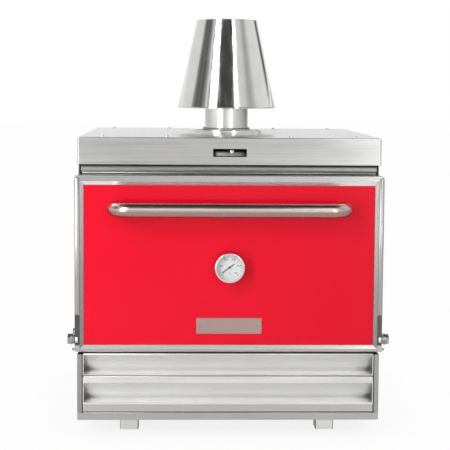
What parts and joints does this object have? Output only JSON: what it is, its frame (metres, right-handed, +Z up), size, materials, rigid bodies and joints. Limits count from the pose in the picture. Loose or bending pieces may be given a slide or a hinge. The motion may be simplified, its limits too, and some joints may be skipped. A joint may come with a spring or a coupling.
{
  "type": "charcoal oven",
  "caption": "Counter-top charcoal oven with a drop-down door and tube handle, dial thermometer, drip tray, ash drawer, flue damper and an open cone hat over the flue.",
  "frame": {"origin": "on the floor under the middle of the oven's box, so Z is 0 under the feet", "axes": "+Z up, -Y out of the door, +X to the right of someone facing the door"},
  "size_m": [0.691, 0.637, 0.905],
  "materials": {
    "brushed_stainless": "satin",
    "polished_stainless": "polished",
    "red_enamel": "gloss",
    "bright_fastener": "satin",
    "black_steel": "matte",
    "liner_steel": "satin",
    "grate_iron": "matte",
    "mineral_wool": "matte",
    "rope_gasket": "matte",
    "dial_glass": "polished",
    "dial_white": "satin",
    "needle_black": "matte"
  },
  "bodies": {
    "carcass": {"base_pan": "brushed_stainless", "side_panel_left": "brushed_stainless", "side_panel_right": "brushed_stainless", "rear_panel": "brushed_stainless", "top_cover": "brushed_stainless", "upper_front_rail": "brushed_stainless", "feet": "brushed_stainless", "hinge_straps": "brushed_stainless", "cover_rails": "brushed_stainless", "floor_rails": "brushed_stainless", "drawer_runners": "brushed_stainless", "tray_runners": "brushed_stainless", "ash_chute": "brushed_stainless", "flue_pipe": "polished_stainless", "flue_flange": "polished_stainless", "cover_screws": "bright_fastener", "hinge_bolts": "bright_fastener", "strap_screws": "bright_fastener", "damper_stud": "bright_fastener", "mouth_frame": "black_steel", "firebox_sides": "black_steel", "firebox_rear": "black_steel", "firebox_roof": "black_steel", "firebox_floor": "black_steel", "rack_guides": "black_steel", "smoke_collar": "black_steel", "spark_baffle": "liner_steel", "fire_grate": "grate_iron", "insulation_sides": "mineral_wool", "insulation_rear": "mineral_wool", "insulation_top": "mineral_wool", "mouth_gasket": "rope_gasket"},
    "door": {"door_frame": "brushed_stainless", "door_panel": "red_enamel", "door_core": "mineral_wool", "door_liner": "liner_steel", "liner_screws": "bright_fastener", "handle_bar": "polished_stainless", "handle_collars": "polished_stainless", "hinge_blocks": "black_steel", "stop_pins": "bright_fastener", "gauge_case": "polished_stainless", "gauge_dial": "dial_white", "gauge_glass": "dial_glass", "gauge_stem": "polished_stainless", "name_plate": "brushed_stainless", "plate_rivets": "bright_fastener"},
    "needle": {"gauge_needle": "needle_black"},
    "drip_tray": {"drip_tray_front": "brushed_stainless", "drip_tray_pan": "brushed_stainless"},
    "ash_drawer": {"ash_drawer_front": "brushed_stainless", "ash_drawer_pan": "brushed_stainless"},
    "damper": {"damper_plate": "brushed_stainless", "damper_knob": "polished_stainless"},
    "hat": {"hat_cone": "polished_stainless", "hat_spider": "polished_stainless"},
    "rack_upper": {"cooking_rack_upper": "liner_steel"},
    "rack_lower": {"cooking_rack_lower": "liner_steel"}
  },
  "joints": [
    {"name": "door_hinge", "type": "hinge", "parent": "carcass", "child": "door", "pos_m": [0, -0.2445, 0.211], "axis": [1, 0, 0], "range_deg": [0, 90]},
    {"name": "gauge_needle_turn", "type": "hinge", "parent": "door", "child": "needle", "pos_m": [0, -0.2715, 0.371], "axis": [0, 1, 0], "range_deg": [-9, 261], "stiffness_Nm_per_rad": 0.002},
    {"name": "drip_tray_slide", "type": "slide", "parent": "carcass", "child": "drip_tray", "axis": [0, -1, 0], "range_m": [0, 0.08]},
    {"name": "ash_drawer_slide", "type": "slide", "parent": "carcass", "child": "ash_drawer", "axis": [0, -1, 0], "range_m": [0, 0.4]},
    {"name": "damper_swing", "type": "hinge", "parent": "carcass", "child": "damper", "pos_m": [0, -0.1715, 0.61], "axis": [0, 0, 1], "range_deg": [-25, 19]},
    {"name": "hat_lift", "type": "slide", "parent": "carcass", "child": "hat", "axis": [0, 0, 1], "range_m": [0, 0.05]},
    {"name": "rack_upper_slide", "type": "slide", "parent": "carcass", "child": "rack_upper", "axis": [0, -1, 0], "range_m": [0, 0.03]},
    {"name": "rack_lower_slide", "type": "slide", "parent": "carcass", "child": "rack_lower", "axis": [0, -1, 0], "range_m": [0, 0.03]}
  ]
}
